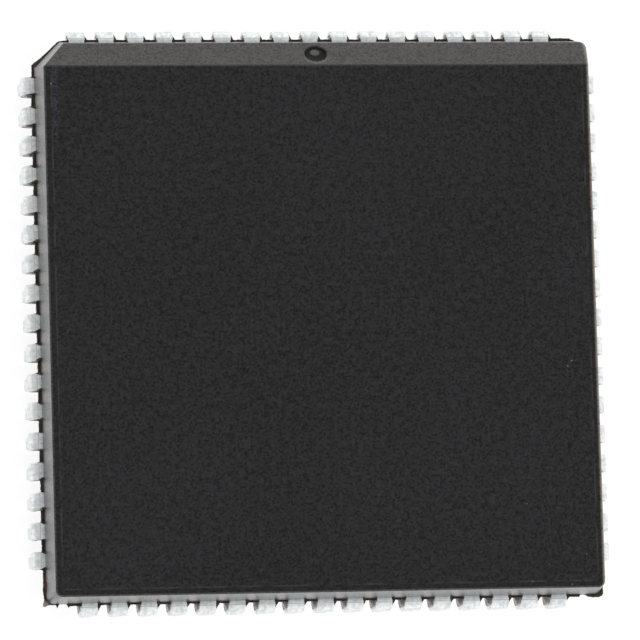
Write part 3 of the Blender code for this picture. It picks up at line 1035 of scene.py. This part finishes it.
# Chance, width and length in millimetres of the film on a lead's root, beside the long spike and on the
# other flank, and the range of shares that the width and length are made by
FILM_SHARE = (0.6, 1.1)
FILM_BY_SPIKE = ((0.3, 0.06, 0.20), (0.7, 0.11, 0.24), (0.2, 0.06, 0.16), (0.5, 0.08, 0.2))
FILM_OTHER = ((0.4, 0.07, 0.20), (0.6, 0.12, 0.26), (0.3, 0.07, 0.18), (0.5, 0.08, 0.2))


def ragged(rng, start, end, wander=FLASH_WANDER):
    """Points from start to end, both (outward, along), with a ragged edge between them."""
    start, end = Vector(start), Vector(end)
    count = max(2, round((end - start).length / FLASH_STEP))
    across = Vector((end.y - start.y, start.x - end.x)).normalized()
    points = [start]
    for number in range(1, count):
        share = number / count
        points.append(start.lerp(end, share) - across * abs(rng.gauss(0, wander)))
    points.append(end)
    return points


def flash_strip(bm, outline, side):
    added = prism(bm, outline, FRAME_BOTTOM + FLASH_SKIN, FRAME_TOP - FLASH_DROP)
    bmesh.ops.transform(bm, matrix=side_turn(side), verts=added)


def flash_tab(bm, rng, start, end, side):
    """One strip from one lead's flank to the next."""
    reach = BODY_HALF + STRIP_REACH[side] * MM
    outer = ragged(rng, (reach, start), (reach, end))
    inner = [(BODY_HALF - FLASH_SINK, end), (BODY_HALF - FLASH_SINK, start)]
    flash_strip(bm, outer + inner, side)


def flash_corner(bm, rng, side):
    """The strip round a corner, from the last lead of one side to the first of the next."""
    start = END_LEAD * PITCH + UPPER_WIDTH / 2
    inner = BODY_HALF - FLASH_SINK
    corners = [(BODY_HALF + x * MM, BODY_HALF + y * MM) for x, y in CORNER_FLASH[side]]
    corners = [(corners[0][0], start)] + corners + [(start, corners[-1][1])]
    outer = []
    for near, far in zip(corners, corners[1:]):
        outer += ragged(rng, near, far, CORNER_WANDER)[:-1]
    outer.append(Vector(corners[-1]))
    bend = inner - (chamfer_at(inner) if side == 0 else 0)
    back = [(start, inner), (bend, inner), (inner, bend), (inner, start)]
    flash_strip(bm, outer + back[:2] + back[2 if side == 0 else 3 :], side)


def resin_sliver(bm, side, index, flank, inward, outward, length, thickness, lift):
    """Tapering resin that follows a lead's shoulder, by its reach on both sides of the lead's flank."""
    stations = []
    for step in range(SLIVER_STEPS + 1):
        share = step / SLIVER_STEPS
        reach = BODY_HALF - FLASH_SINK + (length + FLASH_SINK) * share
        angle = math.asin(min(1.0, max(0.0, reach - SHOULDER_START) / SHOULDER_RADIUS))
        height = FRAME_TOP - SHOULDER_RADIUS * (1 - math.cos(angle)) + lift * math.cos(angle)
        taper = 1 - smoothstep((share - SLIVER_FULL) / (1 - SLIVER_FULL)) * SLIVER_LOSS
        near = UPPER_WIDTH / 2 - inward * taper
        far = UPPER_WIDTH / 2 + outward * taper
        left, right = (near, far) if flank > 0 else (-far, -near)
        stations.append((reach + lift * math.sin(angle), index * PITCH, height, left, right, angle))
    before = set(bm.verts)
    swept_strip(bm, stations, thickness, SLIVER_ROUND, SLIVER_ROUND)
    added = [vert for vert in bm.verts if vert not in before]
    bmesh.ops.transform(bm, matrix=side_turn(side), verts=added)


def lead_spikes(bm, rng, side, index):
    """The long spike on one flank of a lead and the short sliver on the other."""
    for flank, (width, length) in ((SPIKE_SIDE[side], SPIKES[side]), (-SPIKE_SIDE[side], SLIVERS[side])):
        width *= rng.uniform(SPIKE_LEAST, 1.0) * MM
        length *= rng.uniform(SPIKE_LEAST, 1.0) * MM
        resin_sliver(bm, side, index, flank, SPIKE_BURY, width, length, SPIKE_DEPTH, -SPIKE_DROP)


def lead_films(bm, rng, side, index):
    """Thin resin on the corners of a lead's root."""
    flank = SPIKE_SIDE[side]
    for which, (chance, width, length) in ((flank, FILM_BY_SPIKE[side]), (-flank, FILM_OTHER[side])):
        drawn, share = rng.random(), rng.uniform(*FILM_SHARE) * MM
        if drawn < chance:
            width, length = width * share, length * share
            resin_sliver(bm, side, index, which, width, FILM_EDGE, length, FILM_THICKNESS, FILM_LIFT)


def add_resin(name, bm, material):
    mesh = new_mesh(name, bm)
    for polygon in mesh.polygons:
        polygon.material_index = 0
    new_piece(name, mesh, ["body"], (material,))


def add_flash(flash, film):
    rng = random.Random(FLASH_SEED)
    strips, films = bmesh.new(), bmesh.new()
    half = UPPER_WIDTH / 2
    for side in range(SIDES):
        for index in range(-END_LEAD, END_LEAD):
            flash_tab(strips, rng, index * PITCH + half, (index + 1) * PITCH - half, side)
        flash_corner(strips, rng, side)
        for index in range(-END_LEAD, END_LEAD + 1):
            lead_spikes(strips, rng, side, index)
            lead_films(films, rng, side, index)
    add_resin("resin_flash", strips, flash)
    add_resin("resin_film", films, film)


# Grains of dirt on the top, by place in millimetres and width

PALE_GRAINS = (
    (8.50, -8.20, 0.07),
    (8.66, -11.51, 0.06),
    (11.04, -10.40, 0.06),
    (9.88, -8.39, 0.05),
    (10.37, -11.67, 0.06),
    (-7.44, 8.35, 0.05),
    (10.65, -2.09, 0.09),
    (10.47, -2.32, 0.08),
    (-11.53, 9.97, 0.09),
)
BROWN_GRAINS = ((11.74, -4.46, 0.07), (11.71, -6.61, 0.05))
GRAIN_SEED = 5
GRAIN_HEIGHT = 0.012 * MM
GRAIN_NARROWEST = 0.5
GRAIN_WIDEST = 0.9
GRAIN_ROUGHNESS = 0.04


def add_grains(name, places, material):
    """Low irregular lumps that lie on the top face."""
    rng = random.Random(GRAIN_SEED)
    bm = bmesh.new()
    for x, y, width in places:
        narrow = width / 2 * rng.uniform(GRAIN_NARROWEST, GRAIN_WIDEST) * MM
        squash = Matrix.Diagonal((width / 2 * MM, narrow, GRAIN_HEIGHT, 1))
        turn = Matrix.Rotation(rng.uniform(0, math.pi), 4, "Z")
        place = Matrix.Translation((x * MM, y * MM, BODY_TOP)) @ turn @ squash
        added = bmesh.ops.create_icosphere(bm, subdivisions=2, radius=1, matrix=place)["verts"]
        for vert in added:
            vert.co += Vector((rng.gauss(0, 1), rng.gauss(0, 1), 0)) * width * GRAIN_ROUGHNESS * MM
    new_piece(name, new_mesh(name, bm), ["body"], (material,))


# Stage: the floor, the sky's strengths with the angles in degrees of its darker patch, and one soft lamp
# that lights the slope of pin 1

FLOOR_HALF = 2.0
FLOOR_DARK = 0.24
FLOOR_LIGHT = 0.26
FLOOR_GLOW = 0.87
SKY = 0.93
SKY_PATCH = 0.09
LEFT_SHARE = 0.62
LEFT_START = -0.05
LEFT_FULL = -0.5
PATCH_TOWARDS = Vector((0.17, 0.10, 0.98)).normalized()
PATCH_EDGE = 22
PATCH_CORE = 10
LAMP_TOWARDS = (0.17, 0.87, 0.45)
LAMP_DISTANCE = 0.6
LAMP_SIZE = 0.25
LAMP_POWER = 0.14


def add_floor():
    material, graph = new_material("floor_white")
    coordinates = graph.add("ShaderNodeTexCoord").outputs["Object"]
    paper = graph.noise(coordinates, 40.0)
    white = graph.add("ShaderNodeBsdfDiffuse", {"Color": graph.mix(paper, grey(FLOOR_DARK), grey(FLOOR_LIGHT))})
    rays = graph.add("ShaderNodeLightPath")
    seen = graph.math("ADD", rays.outputs["Is Camera Ray"], rays.outputs["Is Glossy Ray"])
    seen = graph.math("ADD", seen, rays.outputs["Is Transmission Ray"], clamp=True)
    glow = graph.add("ShaderNodeEmission", {"Strength": graph.math("MULTIPLY", seen, FLOOR_GLOW)})
    lit = graph.add("ShaderNodeAddShader", {0: white.outputs[0], 1: glow.outputs[0]})
    below = graph.add("ShaderNodeNewGeometry").outputs["Backfacing"]
    clear = graph.add("ShaderNodeBsdfTransparent")
    hidden = graph.math("MULTIPLY", below, rays.outputs["Is Camera Ray"])
    shader = graph.add("ShaderNodeMixShader", {0: hidden, 1: lit.outputs[0], 2: clear.outputs[0]})
    graph.surface(shader.outputs[0])
    bm = bmesh.new()
    bmesh.ops.create_grid(bm, x_segments=1, y_segments=1, size=FLOOR_HALF)
    mesh = bpy.data.meshes.new("floor")
    bm.to_mesh(mesh)
    bm.free()
    mesh.materials.append(material)
    new_object("floor", mesh)


def add_world():
    """A pale room, duller on the left, with a darker patch overhead, round the camera's place."""
    world = bpy.data.worlds.new("studio")
    bpy.context.scene.world = world
    world.use_nodes = True
    graph = Graph(world.node_tree)
    direction = graph.add("ShaderNodeTexCoord").outputs["Generated"]
    towards = graph.add("ShaderNodeVectorMath", {0: direction, 1: PATCH_TOWARDS}, operation="DOT_PRODUCT")
    edge, core = (math.cos(math.radians(angle)) for angle in (PATCH_EDGE, PATCH_CORE))
    strength = graph.ramp(towards.outputs["Value"], edge, core, SKY, SKY_PATCH)
    sideways = graph.add("ShaderNodeSeparateXYZ", {0: direction}).outputs[0]
    duller = graph.ramp(sideways, LEFT_START, LEFT_FULL, 1.0, LEFT_SHARE)
    strength = graph.math("MULTIPLY", strength, duller)
    sky = graph.add("ShaderNodeBackground", {"Color": (1, 1, 1, 1), "Strength": strength})
    graph.add("ShaderNodeOutputWorld", {"Surface": sky.outputs[0]})


def add_lamp(name, direction, distance, size, power):
    lamp = bpy.data.lights.new(name, "AREA")
    lamp.shape = "DISK"
    lamp.size = size
    lamp.energy = power
    obj = bpy.data.objects.new(name, lamp)
    bpy.context.scene.collection.objects.link(obj)
    towards = Vector(direction).normalized()
    obj.location = towards * distance
    obj.rotation_euler = towards.to_track_quat("Z", "Y").to_euler()


def add_camera():
    data = bpy.data.cameras.new("camera")
    data.sensor_width = SENSOR
    data.lens = FOCAL_PIXELS / IMAGE_PIXELS * SENSOR
    data.clip_start = CLIP_START
    data.clip_end = CLIP_END
    camera = bpy.data.objects.new("camera", data)
    bpy.context.scene.collection.objects.link(camera)
    camera.location = CAMERA_PLACE
    camera.rotation_euler = CAMERA_TURN
    bpy.context.scene.camera = camera


def main():
    compound = moulding_compound()
    flash = thin_resin("resin_flash_finish", *FLASH_TONES)
    film = thin_resin("resin_film_finish", *FILM_TONES)
    tin = tin_plate()
    flank = sheared_flank()
    copper = bare_copper()
    # Darker copy of the compound as painted shade in the pin 1 pit, lighter copy as a painted glint there
    smooth = pit_shade_and_glint_compound("pit_shade_compound_finish", 0.006, 1.27)
    pit_glint = pit_shade_and_glint_compound("pit_glint_compound_finish", 0.012, 1.6)
    add_body(compound, smooth, pit_glint)
    add_leads(tin, flank, copper)
    add_paddle(tin, copper)
    add_flash(flash, film)
    pale = dust("pale_dust_finish", (0.12, 0.12, 0.12, 1), (0.3, 0.3, 0.29, 1))
    brown = dust("brown_dust_finish", (0.12, 0.06, 0.03, 1), (0.3, 0.16, 0.08, 1))
    add_grains("pale_dust", PALE_GRAINS, pale)
    add_grains("brown_dust", BROWN_GRAINS, brown)
    silicon = hidden_finish("silicon_finish", (0.1, 0.11, 0.14, 1), (0.2, 0.21, 0.26, 1), 0.6, 0.15)
    glue = hidden_finish("silver_glue_finish", (0.5, 0.5, 0.48, 1), (0.66, 0.66, 0.64, 1), 0.7, 0.5)
    for node, material in (("die", silicon), ("die_attach", glue)):
        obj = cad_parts[node]
        obj.data.materials.clear()
        obj.data.materials.append(material)
    add_floor()
    add_world()
    add_lamp("softbox", LAMP_TOWARDS, LAMP_DISTANCE, LAMP_SIZE, LAMP_POWER)
    add_camera()
    bpy.context.scene.view_settings.view_transform = "Standard"


main()
